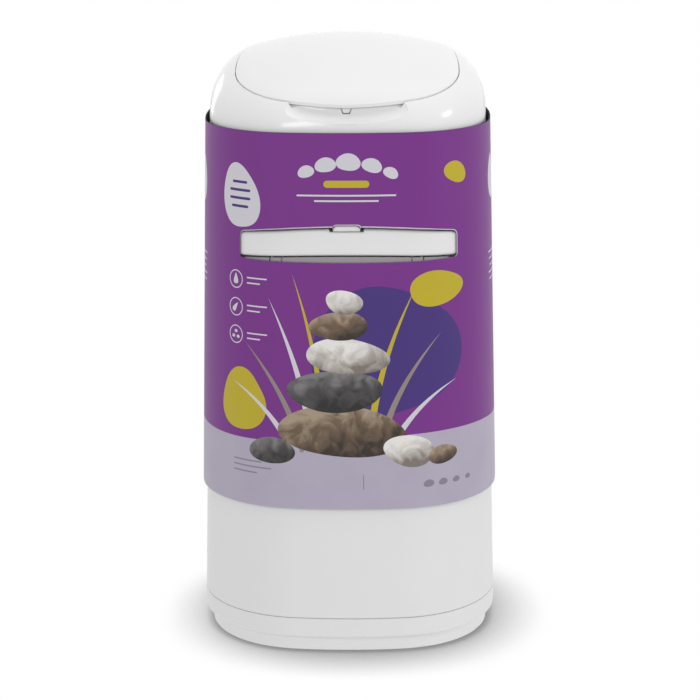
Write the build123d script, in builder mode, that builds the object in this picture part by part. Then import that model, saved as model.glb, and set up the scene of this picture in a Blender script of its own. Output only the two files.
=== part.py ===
from build123d import *
import os
from math import atan, atan2, degrees, sqrt

# A lidded disposal pail for used cat litter. Millimetres, +Z up, origin at the middle of
# the base where it meets the floor, front towards -Y. A drafted tub stands on a base pan
# and carries a deck with a film cartridge. A handle in front pulls a drawer whose jaw
# opens the film, the head tilts back on a rear hinge, and the lid opens in the head.
# A printed card sleeve is slipped over the tub.

# ---- plan of the tub: shallow arcs for the four sides and tighter arcs at the corners
half_width = 115.2        # at the seam between base and tub
half_depth = 109.45       # at the same level
front_radius = 334.2
side_radius = 330.5
corner_radius = 81.6
seam_level = 28.0
draft_in = 10.0           # how far each wall leans in ...
draft_rise = 372.0        # ... over this height
wall = 2.5

# ---- levels of the tub and the base
seam_gap = 0.4
plinth_height = 12.2
plinth_inset = 5.5
floor_thickness = 2.5
foot_width = 13.0
foot_thickness = 2.4
head_seam = 397.6
head_seam_gap = 0.8

# ---- head and lid
crown_top = 457.9
crown_back = 21.0         # the highest point lies behind the middle
crown_long_radius = 194.5
crown_cross_radius = 280.0
crown_fillet = 42.8
lid_thickness = 2.6
lid_proud = 0.3
lid_gap = 0.5
lid_front = 92.3
lid_back = 57.0
lid_back_gap = 2.2
lid_half_width = 83.5
lid_widest = -27.0        # where along Y the lid is widest
lid_front_radius = 150.0
lid_side_radius = 230.0
lid_front_corner = 55.0
lid_back_corner = 25.0
seat_depth = 4.3
seat_width = 9.0
seat_thickness = 2.2
lid_gasket_thickness = 1.3
gasket_inset = 4.5
gasket_width = 3.2
liner_inset = 12.0
liner_thickness = 1.6
liner_rim = 3.0
scoop_sections = (         # beside the middle, centre along Y, centre level, radius
    (0.0, -101.9, 417.4, 12.9),
    (20.0, -101.4, 418.5, 13.3),
    (38.0, -100.1, 421.4, 14.0),
    (50.0, -103.5, 421.5, 10.0),
)
catch_top_width = 6.8
catch_low_width = 4.0
catch_height = 3.0
catch_proud = 0.6

# ---- hinges
pin_radius = 1.5
pin_clearance = 0.05
knuckle_gap = 0.4
head_axis_y = 97.2
head_axis_z = 407.0
head_knuckle = 3.0
head_hinge_half = 28.0
tub_knuckle_near = 8.0
tub_knuckle_far = 18.0
lid_axis_y = 64.0
lid_axis_z = 447.3
lid_knuckle = 3.2
lid_hinge_half = 34.0
lid_knuckle_near = 8.4
lid_knuckle_far = 21.6
trough_half = 36.0
trough_back = 70.4
trough_floor = 443.0

# ---- pull handle, its slot and the release tab
handle_half_width = 82.8
handle_top = 328.5
handle_top_sag = 5.6
handle_low = 308.6
handle_low_sag = 3.2
handle_corner = 3.5
handle_low_corner = 2.5
handle_proud = 1.9
handle_skin = 3.5
handle_flange = 4.4
handle_flange_back = -77.5
handle_flange_half = 64.0
handle_edge = 2.2
slot_gap = 0.9
slot_low = 303.4
tab_half_width = 9.9
tab_low = 326.9
tab_high = 331.1
tab_corner = 3.0
tab_proud = 2.3
tab_edge = 0.8
tab_notch_gap = 2.6
tab_under_gap = 0.5
tab_travel = 2.5
pull_travel = 66.0

# ---- drawer, rails and jaws
drawer_half_width = 60.0
drawer_thickness = 3.5
drawer_level = 316.0
drawer_front = -86.0
jaw_line = 38.0
jaw_gap = 0.4
seal_thickness = 2.0
rail_width = 12.0
rail_lap = 3.0
rail_clearance = 0.3
rail_low = 312.5
rail_front = -74.0
rail_back = 62.0
rear_jaw_depth = 10.0
stop_half_width = 20.0
stop_depth = 4.0

# ---- deck and cartridge
deck_level = 333.0
deck_thickness = 3.0
deck_fit = 0.2
ledge_width = 6.0
opening_half_width = 56.0
opening_half_depth = 38.0
opening_corner = 22.0
cartridge_half_width = 84.0
cartridge_half_depth = 66.0
cartridge_corner = 40.0
cartridge_height = 47.0
cartridge_wall = 1.6
cover_thickness = 2.4
cover_gap = 2.0
funnel_foot_gap = 0.4
funnel_wall = 2.0
funnel_knee = 410.0
gasket_height = 2.4

# ---- latch behind the tab
arm_half_width = 8.5
arm_front = -90.5
arm_thickness = 3.0
arm_top = 396.6
latch_clearance = 0.3
nose_reach = 1.1
nose_height = 3.0
cheek = 2.5
cheek_height = 16.0
guide_back = -78.5
guide_plate = 1.8
spring_radius = 3.0
spring_wire = 0.35
spring_level = 346.0
spring_turns = 4
catch_foot_top = 393.2

# ---- card sleeve
card = 0.8
sleeve_low = 115.8
sleeve_high = 399.1
sleeve_half_low = 115.8
sleeve_half_high = 108.6
window_centre = 1.4
window_half_width = 84.9
window_top = 330.5
window_top_sag = 6.0
window_low = 303.8
window_low_sag = 1.0
window_corner = 4.5
window_low_corner = 3.0
window_notch_gap = 0.6

# ---- fasteners
screw_radius = 1.5
screw_head_radius = 3.0
screw_head_height = 2.0
screw_clearance = 0.05
boss_radius = 4.2
deck_boss_in = 3.5
base_boss_in = 14.0

draft_slope = draft_in / draft_rise
draft_angle = degrees(atan(draft_slope))


def drawn_in(level):
    """How far the wall has leaned in at this level."""
    return (level - seam_level) * draft_slope


def corner_centre():
    """Centre of the corner arc that touches the front arc and the side arc."""
    front = Vector(0, half_depth - front_radius)
    side = Vector(half_width - side_radius, 0)
    apart = (side - front).length
    to_front = front_radius - corner_radius
    to_side = side_radius - corner_radius
    along = (to_front**2 - to_side**2 + apart**2) / (2 * apart)
    aside = sqrt(to_front**2 - along**2)
    run = (side - front) / apart
    return front + run * along + Vector(run.Y, -run.X) * aside


corner = corner_centre()
front_end = degrees(atan2(corner.Y - half_depth + front_radius, corner.X))
side_end = degrees(atan2(corner.Y, corner.X - half_width + side_radius))
corner_turn = front_end - side_end


def pail_plan(inset):
    """The pail's plan, drawn in all round by inset."""
    with BuildSketch() as shape:
        with BuildLine():
            for side in (1, -1):
                front_start = front_end if side > 0 else 180 + front_end
                side_start = -side_end if side > 0 else 180 - side_end
                front_middle = (0, side * (half_depth - front_radius))
                side_middle = (side * (half_width - side_radius), 0)
                CenterArc(front_middle, front_radius - inset, front_start, 180 - 2 * front_end)
                CenterArc(side_middle, side_radius - inset, side_start, 2 * side_end)
            for x, y, start in (
                (1, 1, side_end),
                (-1, 1, 180 - front_end),
                (-1, -1, 180 + side_end),
                (1, -1, -front_end),
            ):
                middle = (x * corner.X, y * corner.Y)
                CenterArc(middle, corner_radius - inset, start, corner_turn)
        make_face()
    return shape.sketch


def tub_form(low, high, inset):
    """Solid of the drafted tub between two levels, its wall drawn in by inset."""
    with BuildPart() as form:
        with BuildSketch(Plane.XY.offset(low)):
            add(pail_plan(inset + drawn_in(low)))
        extrude(amount=high - low, taper=draft_angle)
    return form.part


def head_form(inset):
    """Solid of the head: drafted wall, double-curved crown and the round between them."""
    low = head_seam + head_seam_gap / 2
    reach = crown_long_radius - inset
    with BuildPart() as form:
        with BuildSketch(Plane.XY.offset(low)):
            add(pail_plan(inset + drawn_in(low)))
        extrude(amount=crown_top - low + wall, taper=draft_angle)
        with BuildSketch(Plane.YZ):
            with BuildLine():
                arc = CenterArc((crown_back, crown_top - crown_long_radius), reach, 48, 84)
                Polyline(arc @ 1, ((arc @ 1).X, low - wall), ((arc @ 0).X, low - wall), arc @ 0)
            make_face()
        spine = Axis((0, 0, crown_top - crown_cross_radius), (0, 1, 0))
        revolve(axis=spine, mode=Mode.INTERSECT)
        fillet(form.faces().sort_by(Axis.Z)[-1].edges(), crown_fillet - inset)
    return form.part


def lid_plan(grow, back=0.0):
    """The lid's plan, grown all round by grow and by back more at its straight rear."""
    with BuildSketch() as shape:
        with Locations((0, lid_front_radius - lid_front)):
            Circle(lid_front_radius + grow)
        for side in (1, -1):
            with Locations((side * (lid_half_width - lid_side_radius), lid_widest)):
                Circle(lid_side_radius + grow, mode=Mode.INTERSECT)
        with Locations((0, lid_back + grow + back)):
            Rectangle(
                4 * lid_half_width,
                4 * lid_half_width,
                align=(Align.CENTER, Align.MAX),
                mode=Mode.INTERSECT,
            )
        ends = shape.vertices().sort_by(Axis.Y)
        fillet(ends[:2], lid_front_corner + grow)
        fillet(shape.vertices().sort_by(Axis.Y)[-2:], lid_back_corner + grow)
    return shape.sketch


def lid_prism(grow, back=0.0):
    """Upright prism over the lid's plan, taller than the head."""
    with BuildPart() as prism:
        with BuildSketch(Plane.XY.offset(head_seam - wall)):
            add(lid_plan(grow, back))
        extrude(amount=crown_top - head_seam + 4 * wall)
    return prism.part


def bar_outline(grow=0.0):
    """Front outline of the handle bar: arched on top, nearly straight below."""
    half = handle_half_width + grow
    top = handle_top + grow
    low = handle_low - grow
    with BuildSketch() as shape:
        with BuildLine():
            ThreePointArc((-half, top - handle_top_sag), (0, top), (half, top - handle_top_sag))
            Line((half, top - handle_top_sag), (half, low - handle_low_sag))
            ThreePointArc((half, low - handle_low_sag), (0, low), (-half, low - handle_low_sag))
            Line((-half, low - handle_low_sag), (-half, top - handle_top_sag))
        make_face()
        ends = shape.vertices().sort_by(Axis.Y)
        fillet(ends[2:], handle_corner + grow)
        fillet(ends[:2], handle_low_corner + grow)
    return shape.sketch


def tab_outline(grow=0.0, low=tab_low):
    """Front outline of the release tab: flat below, rounded above."""
    height = tab_high + grow - low
    with BuildSketch() as shape:
        with Locations((0, low)):
            Rectangle(2 * (tab_half_width + grow), height, align=(Align.CENTER, Align.MIN))
        fillet(shape.vertices().group_by(Axis.Y)[-1], tab_corner + grow)
    return shape.sketch


def ring_plan(half_x, half_y, radius, inset):
    """Rounded rectangle drawn in by inset, the plan of the cartridge's walls."""
    with BuildSketch() as shape:
        RectangleRounded(2 * (half_x - inset), 2 * (half_y - inset), radius - inset)
    return shape.sketch


def corner_spots(level, from_wall):
    """Four places near the corners, this far inside the wall's inner face at this level."""
    reach = (corner_radius - drawn_in(level) - wall - from_wall) / sqrt(2)
    return [
        (x * (corner.X + reach), y * (corner.Y + reach))
        for x in (1, -1)
        for y in (1, -1)
    ]


def screw_up(places, head_level, length, cut=False):
    """Screws driven upwards, heads below head_level; or the holes they need."""
    extra = screw_clearance if cut else 0.0
    with BuildPart() as screws:
        with Locations(*[(x, y, head_level) for x, y in places]):
            Cylinder(
                screw_head_radius + extra,
                screw_head_height,
                align=(Align.CENTER, Align.CENTER, Align.MAX),
            )
            Cylinder(
                screw_radius + extra,
                length + extra,
                align=(Align.CENTER, Align.CENTER, Align.MIN),
            )
    return screws.part


def screw_down(places, head_level, length, cut=False):
    """Screws driven downwards, heads above head_level; or the holes they need."""
    extra = screw_clearance if cut else 0.0
    with BuildPart() as screws:
        with Locations(*[(x, y, head_level) for x, y in places]):
            Cylinder(
                screw_head_radius + extra,
                screw_head_height,
                align=(Align.CENTER, Align.CENTER, Align.MIN),
            )
            Cylinder(
                screw_radius + extra,
                length + extra,
                align=(Align.CENTER, Align.CENTER, Align.MAX),
            )
    return screws.part


def tub_ring(low, high, outside, inside):
    """Drafted ring that follows the tub's wall between two insets."""
    with BuildPart() as ring:
        add(tub_form(low, high, outside))
        add(tub_form(low, high, inside), mode=Mode.SUBTRACT)
    return ring.part


def lowered(form, drop):
    """The same form set down by drop, so that walls between them stand upright-even."""
    return form.moved(Location((0, 0, -drop)))


def front_cut(outline, back, front=-130.0):
    """Solid of a front outline, run from back to front along Y."""
    with BuildPart() as cut:
        with BuildSketch(Plane.XZ.offset(-back)):
            add(outline)
        extrude(amount=back - front)
    return cut.part


# ---- levels and places that follow from the sizes above
tub_top = head_seam - head_seam_gap / 2
head_low = head_seam + head_seam_gap / 2
deck_top = deck_level + deck_thickness
cover_low = deck_top + cartridge_height
funnel_foot = cover_low + cover_thickness + funnel_foot_gap + gasket_height
sleeve_slope = (sleeve_half_low - sleeve_half_high) / (sleeve_high - sleeve_low)
arm_back = arm_front + arm_thickness
rail_near = drawer_half_width - rail_lap
jaw_half = rail_near - jaw_gap
jaw_back = jaw_line + jaw_gap / 2 + seal_thickness + rear_jaw_depth
well_low = slot_low - 0.3 - floor_thickness
well_back = rail_front - 1.5
well_high = drawer_level - 1.5
crown = head_form(0.0)
crown_inside = head_form(wall)
lid_crown = head_form(-lid_proud)

# ================================================================= base and tub
base_holes = corner_spots(seam_level, base_boss_in)
base_screw_level = plinth_height + 6.0

with BuildPart() as base_pan:
    add(tub_form(plinth_height, seam_level - seam_gap, 0.0))
    fillet(base_pan.faces().sort_by(Axis.Z)[0].edges(), 2.4)
    add(tub_form(plinth_height + floor_thickness, seam_level, wall), mode=Mode.SUBTRACT)
    with BuildSketch():
        add(pail_plan(plinth_inset))
        add(pail_plan(plinth_inset + wall), mode=Mode.SUBTRACT)
    extrude(amount=plinth_height)
    with BuildSketch():
        add(pail_plan(plinth_inset))
        add(pail_plan(plinth_inset + foot_width), mode=Mode.SUBTRACT)
    extrude(amount=foot_thickness)
    fillet(base_pan.faces().sort_by(Axis.Z)[0].outer_wire().edges(), 1.2)
    with BuildSketch(Plane.XY.offset(foot_thickness * 2)):
        for lane in (-60, -20, 20, 60):
            with Locations((lane, 0)):
                Rectangle(2.0, 2 * half_depth)
            with Locations((0, lane)):
                Rectangle(2 * half_width, 2.0)
        add(pail_plan(plinth_inset + wall / 2), mode=Mode.INTERSECT)
    extrude(amount=plinth_height - foot_thickness * 2)
    with Locations(*[(x, y, plinth_height) for x, y in base_holes]):
        post = seam_level - seam_gap - plinth_height
        Cylinder(boss_radius + 1, post, align=(Align.CENTER, Align.CENTER, Align.MIN))
        Cylinder(
            screw_head_radius + 0.4,
            base_screw_level - plinth_height - screw_head_height,
            align=(Align.CENTER, Align.CENTER, Align.MIN),
            mode=Mode.SUBTRACT,
        )
    add(screw_up(base_holes, base_screw_level, 20, cut=True), mode=Mode.SUBTRACT)
base_pan.part.label = "base_pan"
export_step(base_pan.part, "parts/base_pan.step")

with BuildPart() as base_screws:
    add(screw_up(base_holes, base_screw_level, 20))
base_screws.part.label = "base_screws"
export_step(base_screws.part, "parts/base_screws.step")

deck_holes = corner_spots(deck_level, deck_boss_in)

# screw bosses stand inside the tub, tied to its wall by a web
with BuildPart() as tub_bosses:
    for places, low, high in (
        (base_holes, seam_level, seam_level + 26),
        (deck_holes, deck_level - 15, deck_level),
    ):
        for x, y in places:
            outwards = degrees(atan2(y, x))
            with Locations((x, y, low)):
                Cylinder(
                    boss_radius, high - low, align=(Align.CENTER, Align.CENTER, Align.MIN)
                )
            with Locations(Location((x, y, low), (0, 0, outwards))):
                Box(30, 2, high - low, align=(Align.MIN, Align.CENTER, Align.MIN))
    add(tub_form(seam_level, deck_level, wall / 2), mode=Mode.INTERSECT)

with BuildPart() as outer_body:
    add(tub_ring(seam_level, tub_top, 0.0, wall))
    add(tub_ring(seam_level, seam_level + 5, wall / 2, wall + 2.4))
    add(tub_ring(seam_level - 3.5, seam_level, wall + deck_fit, wall + 2.4))
    add(tub_ring(deck_level - 3, deck_level, wall / 2, wall + ledge_width))
    add(tub_bosses.part)
    # shelf under the finger well
    with BuildSketch(Plane.XY.offset(well_low - 3)):
        add(pail_plan(wall / 2 + drawn_in(well_low)))
        add(pail_plan(wall + 4 + drawn_in(well_low)), mode=Mode.SUBTRACT)
        with Locations((0, well_back)):
            Rectangle(140, 60, align=(Align.CENTER, Align.MAX), mode=Mode.INTERSECT)
    extrude(amount=3)
    # ribs that flank the latch arm
    for side in (1, -1):
        with Locations((side * (arm_half_width + 1.9), -half_depth + wall + 10.3, 345)):
            Box(2, 4.4, 50, align=(Align.CENTER, Align.CENTER, Align.MIN))
    # knuckles of the head hinge, on brackets that rise from the rear wall
    for side in (1, -1):
        knuckle_middle = side * (tub_knuckle_near + tub_knuckle_far) / 2
        knuckle_long = tub_knuckle_far - tub_knuckle_near
        with Locations((knuckle_middle, head_axis_y - 2.9, head_axis_z)):
            Box(
                knuckle_long,
                4.0,
                head_axis_z - tub_top + 5,
                align=(Align.CENTER, Align.MIN, Align.MAX),
            )
        with Locations(Location((knuckle_middle, head_axis_y, head_axis_z), (0, 90, 0))):
            Cylinder(head_knuckle, knuckle_long)
    with Locations(Location((0, head_axis_y, head_axis_z), (0, 90, 0))):
        Cylinder(pin_radius + pin_clearance, 3 * head_hinge_half, mode=Mode.SUBTRACT)
    # the handle's slot with room for fingers below it and for the tab above
    with BuildSketch(Plane.XZ.offset(60)):
        add(bar_outline(slot_gap))
        with Locations((0, slot_low)):
            Rectangle(
                2 * (handle_half_width + slot_gap),
                handle_low - slot_low + handle_corner + 2,
                align=(Align.CENTER, Align.MIN),
            )
        add(tab_outline(slot_gap))
    extrude(amount=70, mode=Mode.SUBTRACT)
    add(screw_up(base_holes, base_screw_level, 20, cut=True), mode=Mode.SUBTRACT)
    add(screw_down(deck_holes, deck_top, 16, cut=True), mode=Mode.SUBTRACT)
outer_body.part.label = "outer_body"
export_step(outer_body.part, "parts/outer_body.step")

# tray behind the handle that keeps fingers out of the tub
with BuildPart() as finger_well:
    add(tub_form(well_low, well_high, wall))
    with Locations((0, well_back, well_low)):
        Box(
            3 * half_width,
            half_depth,
            50,
            align=(Align.CENTER, Align.MAX, Align.MIN),
            mode=Mode.INTERSECT,
        )
    with Locations((0, well_back - floor_thickness, well_low + floor_thickness)):
        Box(
            3 * half_width,
            half_depth,
            50,
            align=(Align.CENTER, Align.MAX, Align.MIN),
            mode=Mode.SUBTRACT,
        )
    for place in (-55, -48, 48, 55):
        with Locations((place, well_back - 1, well_low + floor_thickness)):
            Box(1.6, 17, 3.4, align=(Align.CENTER, Align.MAX, Align.MIN))
finger_well.part.label = "finger_well"
export_step(finger_well.part, "parts/finger_well.step")

# ================================================================= deck, rails and jaws
rail_screw_x = rail_near + rail_width - 4.2
rail_holes = [(x, y) for x in (-rail_screw_x, rail_screw_x) for y in (-56, 44)]
jaw_holes = [(x, jaw_back - 4.5) for x in (-40, 40)]
guide_holes = [(-16, -86), (16, -86)]
rising = deck_level - rail_low - 1.0 + 2.0

with BuildPart() as cartridge_deck:
    add(tub_form(deck_level, deck_top, wall + deck_fit))
    with BuildSketch(Plane.XY.offset(deck_level)):
        add(ring_plan(opening_half_width, opening_half_depth, opening_corner, -2))
    extrude(amount=deck_thickness, mode=Mode.SUBTRACT)
    with Locations((0, arm_back + tab_travel + latch_clearance, deck_level)):
        Box(
            2 * (arm_half_width + latch_clearance),
            50,
            deck_thickness,
            align=(Align.CENTER, Align.MAX, Align.MIN),
            mode=Mode.SUBTRACT,
        )
    # stops that keep the cartridge in place
    for side in (1, -1):
        with Locations((side * (cartridge_half_width + 1.3), 0, deck_top)):
            Box(2, 30, 6, align=(Align.CENTER, Align.CENTER, Align.MIN))
        with Locations((0, side * (cartridge_half_depth + 1.3), deck_top)):
            Box(40, 2, 6, align=(Align.CENTER, Align.CENTER, Align.MIN))
    with Locations(*[(x, y, deck_level) for x, y in guide_holes]):
        Cylinder(boss_radius, 3.5, align=(Align.CENTER, Align.CENTER, Align.MAX))
    add(screw_down(deck_holes, deck_top, 16, cut=True), mode=Mode.SUBTRACT)
    add(screw_down(guide_holes, deck_top + 2, 8, cut=True), mode=Mode.SUBTRACT)
    add(screw_up(rail_holes + jaw_holes, rail_low + 2, rising, cut=True), mode=Mode.SUBTRACT)
cartridge_deck.part.label = "cartridge_deck"
export_step(cartridge_deck.part, "parts/cartridge_deck.step")

with BuildPart() as deck_screws:
    add(screw_down(deck_holes, deck_top, 16))
deck_screws.part.label = "deck_screws"
export_step(deck_screws.part, "parts/deck_screws.step")

for side, name in ((-1, "slide_rail_left"), (1, "slide_rail_right")):
    with BuildPart() as slide_rail:
        with Locations((side * (rail_near + rail_width / 2), rail_front, rail_low)):
            Box(
                rail_width,
                rail_back - rail_front,
                deck_level - rail_low,
                align=(Align.CENTER, Align.MIN, Align.MIN),
            )
        with Locations((side * rail_near, rail_front, drawer_level - rail_clearance)):
            Box(
                2 * (rail_lap + rail_clearance),
                rail_back - rail_front - 3,
                drawer_thickness + 2 * rail_clearance,
                align=(Align.CENTER, Align.MIN, Align.MIN),
                mode=Mode.SUBTRACT,
            )
        add(screw_up(rail_holes, rail_low + 2, rising, cut=True), mode=Mode.SUBTRACT)
    slide_rail.part.label = name
    export_step(slide_rail.part, f"parts/{name}.step")

with BuildPart() as rail_screws:
    add(screw_up(rail_holes, rail_low + 2, rising))
rail_screws.part.label = "rail_screws"
export_step(rail_screws.part, "parts/rail_screws.step")

with BuildPart() as rear_jaw:
    with Locations((0, jaw_back, rail_low)):
        Box(
            2 * jaw_half,
            rear_jaw_depth,
            deck_level - rail_low,
            align=(Align.CENTER, Align.MAX, Align.MIN),
        )
    add(screw_up(jaw_holes, rail_low + 2, rising, cut=True), mode=Mode.SUBTRACT)
rear_jaw.part.label = "rear_jaw"
export_step(rear_jaw.part, "parts/rear_jaw.step")

with BuildPart() as jaw_screws:
    add(screw_up(jaw_holes, rail_low + 2, rising))
jaw_screws.part.label = "jaw_screws"
export_step(jaw_screws.part, "parts/jaw_screws.step")

jaw_tall = drawer_level + drawer_thickness - rail_low
with BuildPart() as rear_jaw_seal:
    with Locations((0, jaw_back - rear_jaw_depth, rail_low)):
        Box(
            2 * jaw_half - 1,
            seal_thickness,
            jaw_tall,
            align=(Align.CENTER, Align.MAX, Align.MIN),
        )
rear_jaw_seal.part.label = "rear_jaw_seal"
export_step(rear_jaw_seal.part, "parts/rear_jaw_seal.step")

# ================================================================= drawer and handle
plate_back = jaw_line - jaw_gap / 2 - seal_thickness
handle_holes = [(-50, -81), (50, -81)]

with BuildPart() as drawer_plate:
    with Locations((0, drawer_front, drawer_level)):
        Box(
            2 * drawer_half_width,
            plate_back - drawer_front,
            drawer_thickness,
            align=(Align.CENTER, Align.MIN, Align.MIN),
        )
    fillet(drawer_plate.edges().filter_by(Axis.Z).group_by(Axis.Y)[0], 6)
    with Locations((0, plate_back, rail_low)):
        Box(
            2 * jaw_half,
            4,
            jaw_tall,
            align=(Align.CENTER, Align.MAX, Align.MIN),
        )
    # lug that stops the drawer against the finger well
    with Locations((0, well_back + pull_travel + latch_clearance, well_high - 1.6)):
        Box(
            2 * stop_half_width,
            stop_depth,
            drawer_level - well_high + 1.6,
            align=(Align.CENTER, Align.MIN, Align.MIN),
        )
    for lane in (-36, 0, 36):
        with Locations((lane, plate_back - 4, drawer_level)):
            Box(2, 36, 2.4, align=(Align.CENTER, Align.MAX, Align.MAX))
    add(screw_up(handle_holes, drawer_level + 2, 7, cut=True), mode=Mode.SUBTRACT)
drawer_plate.part.label = "drawer_plate"
export_step(drawer_plate.part, "parts/drawer_plate.step")

with BuildPart() as front_jaw_seal:
    with Locations((0, plate_back, rail_low)):
        Box(
            2 * jaw_half - 1,
            seal_thickness,
            jaw_tall,
            align=(Align.CENTER, Align.MIN, Align.MIN),
        )
front_jaw_seal.part.label = "front_jaw_seal"
export_step(front_jaw_seal.part, "parts/front_jaw_seal.step")

# top flange of the handle, a strip that follows its arched top
with BuildPart() as handle_flange_strip:
    with BuildSketch(Plane.XZ.offset(-handle_flange_back)):
        add(bar_outline())
        add(bar_outline().moved(Location((0, -handle_flange, 0))), mode=Mode.SUBTRACT)
        with Locations((0, handle_top)):
            Rectangle(
                2 * handle_flange_half,
                2 * handle_flange + handle_top_sag,
                mode=Mode.INTERSECT,
            )
    extrude(amount=handle_flange_back + half_depth)
    add(
        tub_form(slot_low, handle_top + 5, handle_skin / 2 - handle_proud),
        mode=Mode.INTERSECT,
    )

with BuildPart() as pull_handle:
    add(tub_form(slot_low, handle_top + 5, -handle_proud))
    add(tub_form(slot_low, handle_top + 5, handle_skin - handle_proud), mode=Mode.SUBTRACT)
    add(front_cut(bar_outline(), -60.0), mode=Mode.INTERSECT)
    skin_front = pull_handle.faces().sort_by(Axis.Y)[0]
    fillet(skin_front.edges(), handle_edge)
    add(handle_flange_strip.part)
    with Locations(*[(x, y, drawer_level + drawer_thickness) for x, y in handle_holes]):
        Cylinder(
            boss_radius,
            handle_top - handle_top_sag - drawer_level - drawer_thickness,
            align=(Align.CENTER, Align.CENTER, Align.MIN),
        )
    with BuildSketch(Plane.XZ.offset(60)):
        with Locations((0, tab_low - tab_under_gap)):
            Rectangle(
                2 * (tab_half_width + tab_notch_gap),
                20,
                align=(Align.CENTER, Align.MIN),
            )
    extrude(amount=70, mode=Mode.SUBTRACT)
    add(screw_up(handle_holes, drawer_level + 2, 7, cut=True), mode=Mode.SUBTRACT)
pull_handle.part.label = "pull_handle"
export_step(pull_handle.part, "parts/pull_handle.step")

with BuildPart() as handle_screws:
    add(screw_up(handle_holes, drawer_level + 2, 7))
handle_screws.part.label = "handle_screws"
export_step(handle_screws.part, "parts/handle_screws.step")

# ================================================================= cartridge
with BuildPart() as film_cartridge:
    with BuildSketch(Plane.XY.offset(deck_top)):
        add(ring_plan(cartridge_half_width, cartridge_half_depth, cartridge_corner, 0))
        add(
            ring_plan(opening_half_width, opening_half_depth, opening_corner, 0),
            mode=Mode.SUBTRACT,
        )
    extrude(amount=cartridge_height)
    with BuildSketch(Plane.XY.offset(deck_top + cartridge_wall)):
        outer_wall = (cartridge_half_width, cartridge_half_depth, cartridge_corner)
        inner_wall = (opening_half_width, opening_half_depth, opening_corner)
        add(ring_plan(*outer_wall, cartridge_wall))
        add(ring_plan(*inner_wall, -cartridge_wall), mode=Mode.SUBTRACT)
    extrude(amount=cartridge_height, mode=Mode.SUBTRACT)
    # the inner wall stops short, so that the film comes out over its edge
    with BuildSketch(Plane.XY.offset(cover_low - cover_gap)):
        add(ring_plan(*inner_wall, -cartridge_wall - 1))
    extrude(amount=cover_gap, mode=Mode.SUBTRACT)
film_cartridge.part.label = "film_cartridge"
export_step(film_cartridge.part, "parts/film_cartridge.step")

# pleated film in the trough, a stack of folds
folds = 9
film_low = deck_top + cartridge_wall + 0.4
fold_pitch = (cover_low - cover_gap - 3 - film_low) / folds
with BuildPart() as film_pack:
    for fold in range(folds):
        for start, share, inset in ((0.0, 0.6, 1.0), (0.6, 0.4, 2.2)):
            level = film_low + (fold + start) * fold_pitch
            with BuildSketch(Plane.XY.offset(level)):
                add(ring_plan(*outer_wall, cartridge_wall + inset))
                add(ring_plan(*inner_wall, -cartridge_wall - inset), mode=Mode.SUBTRACT)
            extrude(amount=share * fold_pitch)
film_pack.part.label = "film_pack"
export_step(film_pack.part, "parts/film_pack.step")

with BuildPart() as cartridge_cover:
    with BuildSketch(Plane.XY.offset(cover_low)):
        add(ring_plan(*outer_wall, 0))
        add(ring_plan(*inner_wall, 0), mode=Mode.SUBTRACT)
    extrude(amount=cover_thickness)
    # skirt that snaps inside the outer wall
    with BuildSketch(Plane.XY.offset(cover_low - 2)):
        add(ring_plan(*outer_wall, cartridge_wall + 0.1))
        add(ring_plan(*outer_wall, cartridge_wall + 1.5), mode=Mode.SUBTRACT)
    extrude(amount=2)
cartridge_cover.part.label = "cartridge_cover"
export_step(cartridge_cover.part, "parts/cartridge_cover.step")

# ================================================================= film cutter
cutter_level = 262.0
cutter_height = 18.0
cutter_half = 26.0
cutter_reach = 13.0
blade_thickness = 0.5

with BuildPart() as film_cutter:
    add(tub_form(cutter_level, cutter_level + cutter_height, wall))
    with Locations((half_width - drawn_in(cutter_level) - wall - cutter_reach, 0, 0)):
        Box(
            half_width,
            2 * cutter_half,
            head_seam,
            align=(Align.MIN, Align.CENTER, Align.MIN),
            mode=Mode.INTERSECT,
        )
    ends = film_cutter.edges().filter_by(Axis.Z).group_by(Axis.X)[0]
    fillet(ends, 4)
    # throat that the film is drawn through
    with Locations((0, 0, cutter_level + cutter_height / 2)):
        Box(2 * half_width, 2 * cutter_half - 14, 4, mode=Mode.SUBTRACT)
    blade_x = half_width - drawn_in(cutter_level) - wall - 4
    with Locations((blade_x, 0, cutter_level + 3)):
        Box(
            6,
            blade_thickness,
            cutter_height - 3,
            align=(Align.MAX, Align.CENTER, Align.MIN),
            mode=Mode.SUBTRACT,
        )
film_cutter.part.label = "film_cutter"
export_step(film_cutter.part, "parts/film_cutter.step")

with BuildPart() as cutter_blade:
    with Locations((blade_x, 0, cutter_level + 3)):
        Box(
            6,
            blade_thickness,
            cutter_height - 3,
            align=(Align.MAX, Align.CENTER, Align.MIN),
        )
cutter_blade.part.label = "cutter_blade"
export_step(cutter_blade.part, "parts/cutter_blade.step")

# ================================================================= latch behind the tab
cheek_in = arm_half_width + latch_clearance
fin_low = deck_top + 6
fin_height = 3.0

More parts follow.
